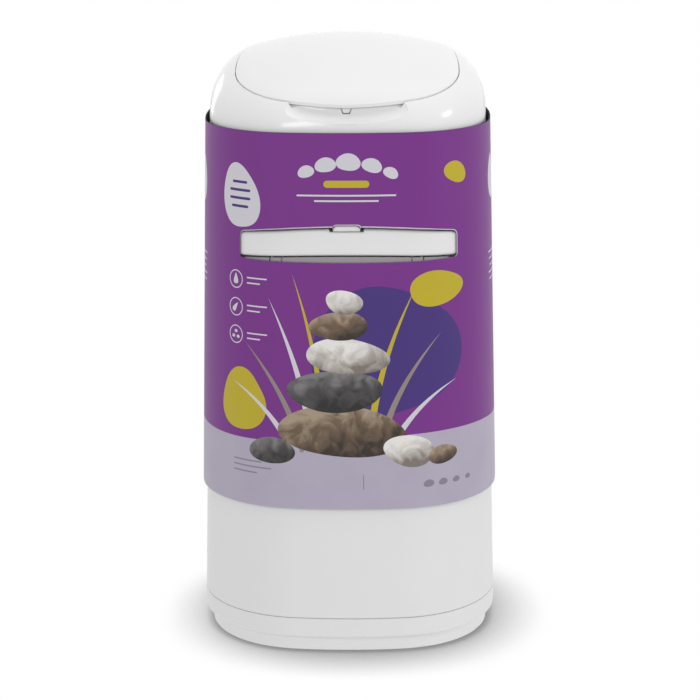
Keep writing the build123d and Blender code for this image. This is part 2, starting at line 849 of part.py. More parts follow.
with BuildPart() as release_latch:
    add(front_cut(tab_outline(), arm_front))
    add(tub_form(slot_low, handle_top + 10, -tab_proud), mode=Mode.INTERSECT)
    fillet(release_latch.faces().sort_by(Axis.Y)[0].edges(), tab_edge)
    with Locations((0, arm_front, tab_low)):
        Box(
            2 * arm_half_width,
            arm_thickness,
            arm_top - tab_low,
            align=(Align.CENTER, Align.MIN, Align.MIN),
        )
    with Locations((0, arm_front, fin_low)):
        Box(
            2 * arm_half_width + 2.6,
            arm_thickness,
            fin_height,
            align=(Align.CENTER, Align.MIN, Align.MIN),
        )
    # nose that holds the head's catch down
    with BuildSketch(Plane.YZ):
        with BuildLine():
            nose_low = arm_top - nose_height
            Polyline(
                (arm_front, nose_low),
                (arm_front - nose_reach, nose_low),
                (arm_front - nose_reach, nose_low + nose_height / 2),
                (arm_front, arm_top),
                (arm_front, nose_low),
            )
        make_face()
    extrude(amount=arm_half_width, both=True)
    with Locations(Location((0, arm_back, spring_level), (90, 0, 0))):
        Cylinder(
            spring_radius - 2 * spring_wire - 0.2,
            2.0,
            align=(Align.CENTER, Align.CENTER, Align.MAX),
        )
release_latch.part.label = "release_latch"
export_step(release_latch.part, "parts/release_latch.step")

with BuildPart() as latch_guide:
    with Locations((0, guide_back, deck_top)):
        Box(40, 15.5, 2, align=(Align.CENTER, Align.MAX, Align.MIN))
        Box(
            2 * (cheek_in + cheek),
            15.5,
            cheek_height,
            align=(Align.CENTER, Align.MAX, Align.MIN),
        )
    with Locations((0, guide_back - guide_plate, deck_top)):
        Box(
            2 * cheek_in,
            20,
            cheek_height,
            align=(Align.CENTER, Align.MAX, Align.MIN),
            mode=Mode.SUBTRACT,
        )
    with Locations((0, guide_back - guide_plate, fin_low - latch_clearance)):
        Box(
            2 * arm_half_width + 2.6 + 2 * latch_clearance,
            20,
            fin_height + 2 * latch_clearance,
            align=(Align.CENTER, Align.MAX, Align.MIN),
            mode=Mode.SUBTRACT,
        )
    add(screw_down(guide_holes, deck_top + 2, 8, cut=True), mode=Mode.SUBTRACT)
latch_guide.part.label = "latch_guide"
export_step(latch_guide.part, "parts/latch_guide.step")

with BuildPart() as guide_screws:
    add(screw_down(guide_holes, deck_top + 2, 8))
guide_screws.part.label = "guide_screws"
export_step(guide_screws.part, "parts/guide_screws.step")

spring_long = guide_back - guide_plate - arm_back - 2 * spring_wire - 0.1
with BuildPart() as release_spring:
    with BuildLine() as coil:
        Helix(
            pitch=spring_long / spring_turns,
            height=spring_long,
            radius=spring_radius - spring_wire,
            center=(0, arm_back + spring_wire + 0.05, spring_level),
            direction=(0, 1, 0),
        )
    with BuildSketch(Plane(origin=coil.line @ 0, z_dir=coil.line % 0)):
        Circle(spring_wire)
    sweep()
release_spring.part.label = "release_spring"
export_step(release_spring.part, "parts/release_spring.step")

# ================================================================= head
funnel_boss_x = 91.0
funnel_holes = [(x, y) for x in (-funnel_boss_x, funnel_boss_x) for y in (-20, 25)]
seat_drop = seat_depth + seat_thickness
opening_back = lid_back_gap - lid_gap
def scoop(grow):
    """Hollow for the thumb, lofted through round sections from one side to the other."""
    spots = [(-x, y, z, radius) for x, y, z, radius in scoop_sections[:0:-1]]
    spots += scoop_sections
    with BuildPart() as hollow:
        for x, y, z, radius in spots:
            with BuildSketch(Plane.YZ.offset(x)):
                with Locations((y, z)):
                    Circle(radius + grow)
        loft()
        add(crown, mode=Mode.INTERSECT)
    return hollow.part


def knuckle_lanes(near, far, half):
    """Middle and length of the three knuckles that lie round a pair from near to far."""
    outer = half - far - knuckle_gap
    return [(0, 2 * (near - knuckle_gap)), (half - outer / 2, outer), (outer / 2 - half, outer)]


def catch_outline(grow):
    """Front outline of the lid's catch, narrower below."""
    top = lid_catch_top
    low = top - catch_height - grow
    with BuildSketch() as shape:
        with BuildLine():
            Polyline(
                (-catch_low_width / 2 - grow, low),
                (catch_low_width / 2 + grow, low),
                (catch_top_width / 2 + grow, top),
                (catch_top_width / 2 + grow, top + 6),
                (-catch_top_width / 2 - grow, top + 6),
                (-catch_top_width / 2 - grow, top),
                (-catch_low_width / 2 - grow, low),
            )
        make_face()
    return shape.sketch


lid_catch_top = 414.7
catch_face = scoop_sections[0][1] + scoop_sections[0][3] - catch_proud
catch_thickness = 1.6

with BuildPart() as lid_seat:
    add(crown)
    add(lowered(crown, seat_drop), mode=Mode.SUBTRACT)
    add(lid_prism(lid_gap + seat_thickness, opening_back), mode=Mode.INTERSECT)
    add(lid_prism(-seat_width), mode=Mode.SUBTRACT)

with BuildPart() as lid_recess:
    add(lid_prism(lid_gap, opening_back))
    add(lowered(crown, seat_depth), mode=Mode.SUBTRACT)

with BuildPart() as hinge_trough:
    with Locations((0, trough_back + 2, trough_floor - 2)):
        Box(
            2 * trough_half + 4,
            trough_back - lid_back + 4,
            crown_top - trough_floor,
            align=(Align.CENTER, Align.MAX, Align.MIN),
        )
    add(crown, mode=Mode.INTERSECT)

with BuildPart() as funnel_bosses:
    with Locations(*[(x, y, funnel_knee + 2.4) for x, y in funnel_holes]):
        Cylinder(boss_radius, 40, align=(Align.CENTER, Align.CENTER, Align.MIN))
    add(head_form(wall / 2), mode=Mode.INTERSECT)

lid_knuckles = [side * (lid_knuckle_near + lid_knuckle_far) / 2 for side in (1, -1)]
lid_knuckle_long = lid_knuckle_far - lid_knuckle_near
head_lid_knuckles = knuckle_lanes(lid_knuckle_near, lid_knuckle_far, lid_hinge_half)
head_knuckles = knuckle_lanes(tub_knuckle_near, tub_knuckle_far, head_hinge_half)

with BuildPart() as head_shell:
    add(crown)
    add(crown_inside, mode=Mode.SUBTRACT)
    add(lid_seat.part)
    add(scoop(wall))
    add(hinge_trough.part)
    add(lid_recess.part, mode=Mode.SUBTRACT)
    add(scoop(0.0), mode=Mode.SUBTRACT)
    add(front_cut(catch_outline(0.5), catch_face + catch_thickness + 0.5), mode=Mode.SUBTRACT)
    add(funnel_bosses.part)
    # trough for the lid's hinge, with slots for the lid's two arms
    with Locations((0, trough_back, trough_floor)):
        Box(
            2 * trough_half,
            trough_back - lid_back - lid_back_gap,
            crown_top - trough_floor,
            align=(Align.CENTER, Align.MAX, Align.MIN),
            mode=Mode.SUBTRACT,
        )
    for middle in lid_knuckles:
        with Locations((middle, trough_back, trough_floor)):
            Box(
                lid_knuckle_long + 2 * knuckle_gap,
                trough_back - lid_back + 6.5,
                crown_top - trough_floor,
                align=(Align.CENTER, Align.MAX, Align.MIN),
                mode=Mode.SUBTRACT,
            )
    for middle, long in head_lid_knuckles:
        with Locations((middle, lid_axis_y - lid_knuckle, trough_floor - 1)):
            Box(
                long,
                trough_back - lid_axis_y + lid_knuckle + 1,
                lid_axis_z - trough_floor + 1,
                align=(Align.CENTER, Align.MIN, Align.MIN),
            )
        with Locations(Location((middle, lid_axis_y, lid_axis_z), (0, 90, 0))):
            Cylinder(lid_knuckle, long)
    with Locations(Location((0, lid_axis_y, lid_axis_z), (0, 90, 0))):
        Cylinder(pin_radius + pin_clearance, 2 * lid_hinge_half + 1, mode=Mode.SUBTRACT)
    # knuckles of the rear hinge and the notches that clear the tub's
    for side in (1, -1):
        middle = side * (tub_knuckle_near + tub_knuckle_far) / 2
        with Locations((middle, head_axis_y, head_low)):
            Box(
                tub_knuckle_far - tub_knuckle_near + 2 * knuckle_gap,
                16,
                head_axis_z + head_knuckle + 1.2 - head_low,
                align=(Align.CENTER, Align.CENTER, Align.MIN),
                mode=Mode.SUBTRACT,
            )
    for middle, long in head_knuckles:
        with Locations(Location((middle, head_axis_y, head_axis_z), (0, 90, 0))):
            Cylinder(head_knuckle, long)
    with Locations(Location((0, head_axis_y, head_axis_z), (0, 90, 0))):
        Cylinder(pin_radius + pin_clearance, 2 * head_hinge_half + 1, mode=Mode.SUBTRACT)
    # tongue inside the front wall whose foot the latch holds
    with Locations((0, -half_depth + drawn_in(head_low) + wall / 2, head_low)):
        Box(16, 6, 7, align=(Align.CENTER, Align.MIN, Align.MIN))
    with Locations((0, arm_front - nose_reach - latch_clearance - 1.0, catch_foot_top - 2)):
        Box(
            16,
            2.6,
            head_low + 2 - catch_foot_top + 2,
            align=(Align.CENTER, Align.MAX, Align.MIN),
        )
        Box(16, 1.0, 2, align=(Align.CENTER, Align.MIN, Align.MIN))
    add(screw_up(funnel_holes, funnel_knee, 14, cut=True), mode=Mode.SUBTRACT)
head_shell.part.label = "head_shell"
export_step(head_shell.part, "parts/head_shell.step")

# ================================================================= funnel under the lid
foot_half_width = opening_half_width - 4
foot_half_depth = opening_half_depth - 4
foot_corner = opening_corner - 4


def funnel_form(thicker):
    """Solid of the funnel below its knee, from the lid's plan to the cartridge's opening."""
    with BuildPart() as form:
        with BuildSketch(Plane.XY.offset(funnel_knee)):
            add(lid_plan(-seat_width + thicker))
        with BuildSketch(Plane.XY.offset(funnel_foot)):
            add(ring_plan(foot_half_width, foot_half_depth, foot_corner, -thicker))
        loft(ruled=True)
    return form.part


with BuildPart() as throat_funnel:
    add(lid_prism(-seat_width + funnel_wall))
    with Locations((0, 0, funnel_knee)):
        Box(
            400, 400, 100, align=(Align.CENTER, Align.CENTER, Align.MIN), mode=Mode.INTERSECT
        )
    add(lowered(crown, seat_drop + 0.05), mode=Mode.INTERSECT)
    with Locations(*[(x, y, funnel_knee) for x, y in funnel_holes]):
        Cylinder(boss_radius, 2.4, align=(Align.CENTER, Align.CENTER, Align.MIN))
    for x, y in funnel_holes:
        reach = abs(x) - 60
        with Locations((x, y, funnel_knee)):
            ends = Align.MAX if x > 0 else Align.MIN
            Box(reach, 2 * boss_radius, 2.4, align=(ends, Align.CENTER, Align.MIN))
    add(lid_prism(-seat_width), mode=Mode.SUBTRACT)
    add(funnel_form(funnel_wall))
    with BuildSketch(Plane.XY.offset(funnel_foot)):
        add(ring_plan(foot_half_width, foot_half_depth, foot_corner, -9))
    extrude(amount=2)
    add(funnel_form(0.0), mode=Mode.SUBTRACT)
    add(screw_up(funnel_holes, funnel_knee, 14, cut=True), mode=Mode.SUBTRACT)
throat_funnel.part.label = "throat_funnel"
export_step(throat_funnel.part, "parts/throat_funnel.step")

with BuildPart() as funnel_screws:
    add(screw_up(funnel_holes, funnel_knee, 14))
funnel_screws.part.label = "funnel_screws"
export_step(funnel_screws.part, "parts/funnel_screws.step")

with BuildPart() as throat_gasket:
    with BuildSketch(Plane.XY.offset(funnel_foot - gasket_height)):
        add(ring_plan(foot_half_width, foot_half_depth, foot_corner, -8))
        add(ring_plan(foot_half_width, foot_half_depth, foot_corner, -5), mode=Mode.SUBTRACT)
    extrude(amount=gasket_height)
throat_gasket.part.label = "throat_gasket"
export_step(throat_gasket.part, "parts/throat_gasket.step")

# ================================================================= lid
with BuildPart() as lid_shell:
    add(lid_crown)
    add(lowered(lid_crown, lid_thickness), mode=Mode.SUBTRACT)
    add(lid_prism(0.0), mode=Mode.INTERSECT)
    with BuildSketch(Plane.XZ.offset(-catch_face - catch_thickness)):
        add(catch_outline(0.0))
    extrude(amount=catch_thickness)
    for middle in lid_knuckles:
        with BuildSketch(Plane.YZ.offset(middle)):
            with BuildLine():
                Polyline(
                    (lid_back - 5.5, lid_axis_z + 3.3),
                    (lid_axis_y - lid_knuckle + 1, lid_axis_z - 2.2),
                    (lid_axis_y + 2.2, lid_axis_z + 2.3),
                    (lid_back + 1, lid_axis_z + 5.9),
                    (lid_back - 5.5, lid_axis_z + 6.2),
                    (lid_back - 5.5, lid_axis_z + 3.3),
                )
            make_face()
        extrude(amount=lid_knuckle_long / 2, both=True)
        with Locations(Location((middle, lid_axis_y, lid_axis_z), (0, 90, 0))):
            Cylinder(lid_knuckle, lid_knuckle_long)
    with Locations(Location((0, lid_axis_y, lid_axis_z), (0, 90, 0))):
        Cylinder(pin_radius + pin_clearance, 2 * lid_hinge_half, mode=Mode.SUBTRACT)
lid_shell.part.label = "lid_shell"
export_step(lid_shell.part, "parts/lid_shell.step")

with BuildPart() as lid_liner:
    add(lowered(lid_crown, lid_thickness))
    add(lowered(lid_crown, lid_thickness + liner_thickness), mode=Mode.SUBTRACT)
    add(lid_prism(-liner_inset), mode=Mode.INTERSECT)

with BuildPart() as liner_bead:
    add(lowered(lid_crown, lid_thickness))
    add(lowered(lid_crown, lid_thickness + liner_thickness + liner_rim), mode=Mode.SUBTRACT)
    add(lid_prism(-liner_inset), mode=Mode.INTERSECT)
    add(lid_prism(-liner_inset - 2), mode=Mode.SUBTRACT)

with BuildPart() as lid_liner_piece:
    add(lid_liner.part)
    add(liner_bead.part)
lid_liner_piece.part.label = "lid_liner"
export_step(lid_liner_piece.part, "parts/lid_liner.step")

with BuildPart() as lid_gasket:
    add(lowered(lid_crown, lid_thickness))
    add(lowered(lid_crown, lid_thickness + lid_gasket_thickness), mode=Mode.SUBTRACT)
    add(lid_prism(-gasket_inset), mode=Mode.INTERSECT)
    add(lid_prism(-gasket_inset - gasket_width), mode=Mode.SUBTRACT)
    for middle in lid_knuckles:
        with Locations((middle, lid_back, lid_axis_z)):
            Box(lid_knuckle_long + 1, 14, 30, mode=Mode.SUBTRACT)
lid_gasket.part.label = "lid_gasket"
export_step(lid_gasket.part, "parts/lid_gasket.step")

# ================================================================= hinge pins
with BuildPart() as head_hinge_pin:
    with Locations(Location((0, head_axis_y, head_axis_z), (0, 90, 0))):
        Cylinder(pin_radius, 2 * head_hinge_half)
head_hinge_pin.part.label = "head_hinge_pin"
export_step(head_hinge_pin.part, "parts/head_hinge_pin.step")

with BuildPart() as lid_hinge_pin:
    with Locations(Location((0, lid_axis_y, lid_axis_z), (0, 90, 0))):
        Cylinder(pin_radius, 2 * lid_hinge_half)
lid_hinge_pin.part.label = "lid_hinge_pin"
export_step(lid_hinge_pin.part, "parts/lid_hinge_pin.step")

# ================================================================= card sleeve
sleeve_angle = degrees(atan(sleeve_slope))


def sleeve_form(inset):
    """Solid of the sleeve's outside, drawn in by inset."""
    with BuildPart() as form:
        with BuildSketch(Plane.XY.offset(sleeve_low)):
            add(pail_plan(half_width - sleeve_half_low + inset))
        extrude(amount=sleeve_high - sleeve_low, taper=sleeve_angle)
    return form.part


def window_outline():
    """Opening in the sleeve for the handle, with a notch for the tab."""
    top_end = window_top - window_top_sag
    low_end = window_low + window_low_sag
    with BuildSketch() as shape:
        with BuildLine():
            left = window_centre - window_half_width
            right = window_centre + window_half_width
            ThreePointArc((left, top_end), (window_centre, window_top), (right, top_end))
            Line((right, top_end), (right, low_end))
            ThreePointArc((right, low_end), (window_centre, window_low), (left, low_end))
            Line((left, low_end), (left, top_end))
        make_face()
        ends = shape.vertices().sort_by(Axis.Y)
        fillet(ends[2:], window_corner)
        fillet(ends[:2], window_low_corner)
        add(tab_outline(window_notch_gap, handle_low + 6))
    return shape.sketch


with BuildPart() as card_sleeve:
    add(sleeve_form(0.0))
    add(sleeve_form(card), mode=Mode.SUBTRACT)
    add(front_cut(window_outline(), -60.0), mode=Mode.SUBTRACT)
card_sleeve.part.label = "card_sleeve"
export_step(card_sleeve.part, "parts/card_sleeve.step")
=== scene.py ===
# %% [markdown]
# # A lidded litter disposal pail
# Every solid of the pail comes from the CAD model, in metres and already in place. This lesson
# gives each one the finish of its real material, prints the card sleeve, and lights the whole
# like an object in a small studio.

# %% Load the pail
import math

import bmesh
import bpy
from mathutils import Matrix, Vector, geometry


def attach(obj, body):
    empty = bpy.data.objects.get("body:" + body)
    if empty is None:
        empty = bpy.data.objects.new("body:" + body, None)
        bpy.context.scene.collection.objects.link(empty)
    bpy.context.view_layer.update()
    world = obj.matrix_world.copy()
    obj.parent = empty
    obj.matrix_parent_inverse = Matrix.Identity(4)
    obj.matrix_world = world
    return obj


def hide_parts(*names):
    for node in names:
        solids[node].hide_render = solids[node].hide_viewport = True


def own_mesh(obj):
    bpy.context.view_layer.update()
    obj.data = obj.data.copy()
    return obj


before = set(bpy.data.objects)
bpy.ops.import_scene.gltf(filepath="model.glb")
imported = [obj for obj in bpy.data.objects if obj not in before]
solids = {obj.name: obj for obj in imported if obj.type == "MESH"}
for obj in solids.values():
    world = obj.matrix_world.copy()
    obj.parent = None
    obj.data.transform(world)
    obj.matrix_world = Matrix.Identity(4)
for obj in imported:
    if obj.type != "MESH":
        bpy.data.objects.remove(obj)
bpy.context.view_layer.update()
mm = 0.001

# %% [markdown]
# ## The camera
# A long lens stands well back and a little above the pail. The perspective is gentle: the
# sides lean in with the wall's draft and the lid shows as a shallow oval.

# %% Camera
camera_distance = 1644.8 * mm
camera_height = 636.5 * mm
camera_side = 0.70 * mm
camera_pitch = math.radians(14.503)
camera_yaw = math.radians(-0.8)
camera_roll = math.radians(0.258)
half_frame, focal_length = 350, 2152.5
field_of_view = 2 * math.atan(half_frame / focal_length)


def place_camera():
    """Stands the camera on its arc round the pail and aims it down at the sleeve."""
    lens = bpy.data.cameras.new("studio_camera")
    lens.sensor_fit = "HORIZONTAL"
    lens.angle = field_of_view
    lens.clip_start = 0.05
    lens.clip_end = 50
    camera = bpy.data.objects.new("studio_camera", lens)
    bpy.context.scene.collection.objects.link(camera)
    turn = Matrix.Rotation(-camera_yaw, 3, "Z")
    camera.location = turn @ Vector((camera_side, -camera_distance, camera_height))
    tip = Matrix.Rotation(math.pi / 2 - camera_pitch, 3, "X")
    roll = Matrix.Rotation(-camera_roll, 3, "Z")
    camera.rotation_euler = (turn @ tip @ roll).to_euler()
    bpy.context.scene.camera = camera
    return camera


camera = place_camera()
bpy.context.scene.view_settings.view_transform = "Standard"
print("camera at", [round(v, 3) for v in camera.location])

# %% [markdown]
# ## Colours and nodes
# Colours are written as sRGB hex, as a paint chart gives them, and one function turns them
# into the linear values that the renderer works with. One more function adds a shader node
# with its settings and links, so that each material below reads as a short recipe.

# %% Colour and node helpers
def paint(chart):
    """Linear colour of an sRGB hex value."""
    channels = [int(chart[i : i + 2], 16) / 255 for i in (1, 3, 5)]
    linear = [c / 12.92 if c <= 0.04045 else ((c + 0.055) / 1.055) ** 2.4 for c in channels]
    return (*linear, 1.0)


def add_node(tree, kind, inputs=None, **settings):
    """Adds a node. An input given a socket is linked to it, any other is set to the value."""
    made = tree.nodes.new(kind)
    for name, value in settings.items():
        setattr(made, name, value)
    for name, value in (inputs or {}).items():
        if isinstance(value, bpy.types.NodeSocket):
            tree.links.new(value, made.inputs[name])
        else:
            made.inputs[name].default_value = value
    return made


def new_material(name):
    """An empty material with a surface shader, and that shader's tree."""
    material = bpy.data.materials.new(name)
    material.use_nodes = True
    return material, material.node_tree, material.node_tree.nodes["Principled BSDF"]


def give(material, *names):
    """Gives a finish to CAD solids through their material slots."""
    for name in names:
        slots = solids[name].material_slots
        if not slots:
            solids[name].data.materials.append(material)
        for slot in slots:
            slot.material = material


# %% [markdown]
# ## Moulded plastics
# The tub, base, head, lid and handle are polypropylene, injection moulded in a polished
# steel tool. It is glossy and a little milky, with a very faint orange peel. The parts inside
# are the same plastic from a spark-eroded tool, which leaves a fine satin grain. A bevel node
# rounds every edge for the light alone, by the radius that the tool leaves, and by a wider
# one on the handle and the release tab.

# %% Moulded polypropylene
plastic_ior = 1.49


def moulded(name, light, shade, roughness, grain_mm, relief_mm, cloud_mm=45.0, edge_mm=0.8):
    """Moulded plastic: two close tones in slow clouds, a fine skin and softened edges."""
    material, tree, shader = new_material(name)
    place = add_node(tree, "ShaderNodeTexCoord").outputs["Object"]
    clouds = add_node(
        tree, "ShaderNodeTexNoise", {"Vector": place, "Scale": 1000 / cloud_mm, "Detail": 2.0}
    )
    tones = add_node(
        tree, "ShaderNodeMix",
        {0: clouds.outputs["Fac"], 6: paint(light), 7: paint(shade)}, data_type="RGBA",
    )
    tree.links.new(tones.outputs[2], shader.inputs["Base Color"])
    skin = add_node(
        tree, "ShaderNodeTexNoise", {"Vector": place, "Scale": 1000 / grain_mm, "Detail": 3.0}
    )
    edges = add_node(tree, "ShaderNodeBevel", {"Radius": edge_mm * mm}, samples=4)
    bump = add_node(
        tree,
        "ShaderNodeBump",
        {
            "Height": skin.outputs["Fac"], "Strength": 1.0, "Distance": relief_mm * mm,
            "Normal": edges.outputs["Normal"],
        },
    )
    tree.links.new(bump.outputs["Normal"], shader.inputs["Normal"])
    shader.inputs["Roughness"].default_value = roughness
    shader.inputs["IOR"].default_value = plastic_ior
    return material


polished_white = moulded("polypropylene_polished_white", "#EFEFEF", "#EDEDED", 0.15, 3.0, 0.003)
give(polished_white, "head_shell", "lid_shell")
glossy_white = moulded("polypropylene_glossy_white", "#EEEEEE", "#EBEBEB", 0.22, 3.0, 0.004)
give(glossy_white, "outer_body", "base_pan", "finger_well")
grip_white = moulded(
    "polypropylene_rounded_white", "#EEEEEE", "#EBEBEB", 0.2, 3.0, 0.004, edge_mm=3.2
)
give(grip_white, "pull_handle", "release_latch")
satin_grey = moulded("polypropylene_satin_grey", "#C9CACC", "#C4C5C8", 0.5, 0.6, 0.02)
give(
    satin_grey, "cartridge_deck", "slide_rail_left", "slide_rail_right",
    "rear_jaw", "drawer_plate", "latch_guide", "throat_funnel", "lid_liner", "film_cutter",
)
satin_natural = moulded("polypropylene_satin_natural", "#E2E1DC", "#DCDBD5", 0.42, 0.5, 0.015)
give(satin_natural, "film_cartridge", "cartridge_cover")
print("moulded finishes done")

# %% [markdown]
# ## Film, rubber and steel

# %% Film, seals and metal
give(moulded("polyethylene_film_pleated", "#CFD3DC", "#BEC3CF", 0.3, 1.2, 0.15, 6.0), "film_pack")
seal = moulded("thermoplastic_rubber_black", "#1B1B1C", "#242426", 0.6, 0.3, 0.02)
give(seal, "rear_jaw_seal", "front_jaw_seal", "throat_gasket", "lid_gasket")


def metal(name, chart, roughness, streak_mm, swing=0.08):
    """Bare or plated steel with fine drawn or rolled streaks."""
    material, tree, shader = new_material(name)
    place = add_node(tree, "ShaderNodeTexCoord").outputs["Object"]
    streaks = add_node(
        tree, "ShaderNodeTexNoise", {"Vector": place, "Scale": 1000 / streak_mm, "Detail": 4.0}
    )
    spread = add_node(
        tree,
        "ShaderNodeMapRange",
        {"Value": streaks.outputs["Fac"], "To Min": roughness - swing, "To Max": roughness + swing},
    )
    tree.links.new(spread.outputs["Result"], shader.inputs["Roughness"])
    shader.inputs["Base Color"].default_value = paint(chart)
    shader.inputs["Metallic"].default_value = 1.0
    return material


give(
    metal("steel_zinc_plated", "#B9BCC0", 0.35, 0.8),
    "base_screws", "deck_screws", "rail_screws", "jaw_screws", "handle_screws",
    "guide_screws", "funnel_screws",
)
give(
    metal("steel_spring_wire", "#A9ABAE", 0.28, 0.3),
    "release_spring", "head_hinge_pin", "lid_hinge_pin",
)
give(metal("steel_ground_blade", "#C4C6C9", 0.22, 0.2), "cutter_blade")
print("film, seals and metal done")


# %% Spring that rides with the tub
def sprung_coil():
    """Stands for the release spring: a copy of its mesh that rides with the tub, the original hidden.
    """
    coil = bpy.data.objects.new("release_coil", solids["release_spring"].data.copy())
    bpy.context.scene.collection.objects.link(coil)
    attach(coil, "tub")
    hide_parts("release_spring")
    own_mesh(coil)
    return coil


release_coil = sprung_coil()
print("release spring keeps", round(release_coil.dimensions.y / mm, 1), "mm at rest")

# %% [markdown]
# ## The card sleeve
# The sleeve is coated board, black on its unprinted side, wrapped round the tub and glued at
# the back. Its CAD solid is the board. The print is a skin of ink on the outside, so it is
# built as a flat sheet cut into ink areas and then bent round the sleeve's plan: a shallow
# arc in front, two tighter corners, two shallow sides and the back. Cutting real outlines
# keeps every edge of the print sharp at any distance.

# %% Plan of the sleeve, walked from the front middle
sleeve_low, sleeve_high = 115.8, 399.1
sleeve_half, sleeve_half_high = 115.8, 108.6
half_width, half_depth = 115.2, 109.45
front_radius, side_radius, corner_radius = 334.2, 330.5, 81.6
sleeve_slope = (sleeve_half - sleeve_half_high) / (sleeve_high - sleeve_low)
skin_proud = 0.08


def corner_middle():
    """Centre of the corner arc that touches the front arc and the side arc."""
    front = Vector((0, half_depth - front_radius))
    side = Vector((half_width - side_radius, 0))
    apart = (side - front).length
    reach = front_radius - corner_radius
    along = (reach**2 - (side_radius - corner_radius) ** 2 + apart**2) / (2 * apart)
    run = (side - front) / apart
    aside = math.sqrt(reach**2 - along**2)
    return front + run * along + Vector((run.y, -run.x)) * aside


corner = corner_middle()
front_turn = math.atan2(corner.x, corner.y - half_depth + front_radius)
side_turn = math.atan2(corner.y, corner.x - half_width + side_radius)
corner_turn = math.pi / 2 - front_turn - side_turn
board = sleeve_half - half_width
arcs = (
    (front_turn, front_radius + board, (0, front_radius - half_depth), -math.pi / 2),
    (corner_turn, corner_radius + board, (corner.x, -corner.y), -math.pi / 2 + front_turn),
    (2 * side_turn, side_radius + board, (half_width - side_radius, 0), -side_turn),
    (corner_turn, corner_radius + board, (corner.x, corner.y), side_turn),
    (front_turn, front_radius + board, (0, half_depth - front_radius), math.pi / 2 - front_turn),
)
half_girth = sum(turn * radius for turn, radius, _, _ in arcs)
print("girth of the sleeve:", round(2 * half_girth, 1), "mm")


def bend(along, level, proud):
    """Point and outward direction on the sleeve, from a place on the flat sheet."""
    left = abs(along)
    for turn, radius, middle, start in arcs:
        if left <= turn * radius + 1e-6:
            break
        left -= turn * radius
    angle = start + left / radius
    out = Vector((math.cos(angle), math.sin(angle)))
    inset = (level - sleeve_low) * sleeve_slope - proud
    point = Vector(middle) + out * (radius - inset)
    if along < 0:
        point.x, out.x = -point.x, -out.x
    outward = Vector((out.x, out.y, sleeve_slope)).normalized()
    return Vector((point.x, point.y, level)) * mm, outward


def unroll(x, level):
    """Place along the flat sheet of a point x to the right of the front middle."""
    radius = front_radius + board
    return radius * math.asin(x / (radius - (level - sleeve_low) * sleeve_slope))


# %% [markdown]
# ## Outlines for the print
# The print is generic: a pile of river pebbles, grass blades and rounded stones in mustard,
# indigo, off-white and taupe on a purple field, over a lavender foot band. A pebble is a
# circle whose radius swells and shrinks in a few slow waves. A blade is a curved stroke that
# tapers to a point.

# %% Pebble, blade and rule outlines
def pebble(x, z, wide, high, tilt=0.0, waves=((2, 0.05, 0.6), (3, 0.04, 2.0)), steps=72):
    """Rounded stone outline, its radius varied by slow waves (count, amount, phase)."""
    outline = []
    for i in range(steps):
        angle = 2 * math.pi * i / steps
        swell = 1 + sum(a * math.cos(n * angle + p) for n, a, p in waves)
        px, pz = wide * swell * math.cos(angle), high * swell * math.sin(angle)
        c, s = math.cos(math.radians(tilt)), math.sin(math.radians(tilt))
        outline.append((x + c * px - s * pz, z + s * px + c * pz))
    return outline


def blade(x, z, length, lean, curl, width, steps=14, taper=1.6, foot=0.62):
    """Grass blade, drawn in to a share at its foot, that leans and curls by degrees to a tip."""
    left, right = [], []
    px, pz, heading = x, z, math.radians(90 - lean)
    for i in range(steps + 1):
        half = width / 2 * (1 - (i / steps) ** taper) * (foot + (1 - foot) * min(1, i / 3))
        nx, nz = -math.sin(heading), math.cos(heading)
        left.append((px + nx * half, pz + nz * half))
        right.append((px - nx * half, pz - nz * half))
        px += math.cos(heading) * length / steps
        pz += math.sin(heading) * length / steps
        heading -= math.radians(curl) / steps
    return right + left[-2::-1]


def bar(x, z, length, height, corner_share=1.0, steps=6):
    """Level bar with rounded ends, from its middle."""
    r = height / 2 * corner_share
    spots = []
    for cx, cz, start in (
        (length / 2 - r, height / 2 - r, 0), (r - length / 2, height / 2 - r, 90),
        (r - length / 2, r - height / 2, 180), (length / 2 - r, r - height / 2, 270),
    ):
        for i in range(steps + 1):
            angle = math.radians(start + 90 * i / steps)
            spots.append((x + cx + r * math.cos(angle), z + cz + r * math.sin(angle)))
    return spots


# %% Outline of the window for the handle
window_middle, window_half = 1.4, 84.9
window_top, top_sag, window_low, low_sag = 330.5, 6.0, 303.8, 1.0
high_corner, low_corner, notch_corner = 4.5, 3.0, 3.6
notch_half, notch_top = 10.5, 331.7
arch_steps = (20, 40, 60)


def sagging(x, level, sag):
    """Level of a shallow arc that is highest or lowest in the middle of the window."""
    return level - sag * ((x - window_middle) / window_half) ** 2


def rounded(points, steps=6):
    """Closed outline through points given as (x, z, corner radius or 0)."""
    outline = []
    for i, (x, z, radius) in enumerate(points):
        if not radius:
            outline.append((x, z))
            continue
        here = Vector((x, z))
        before = (Vector(points[i - 1][:2]) - here).normalized()
        after = (Vector(points[(i + 1) % len(points)][:2]) - here).normalized()
        for k in range(steps + 1):
            t = k / steps
            spot = here + before * radius * (1 - t) ** 2 + after * radius * t**2
            outline.append((spot.x, spot.y))
    return outline


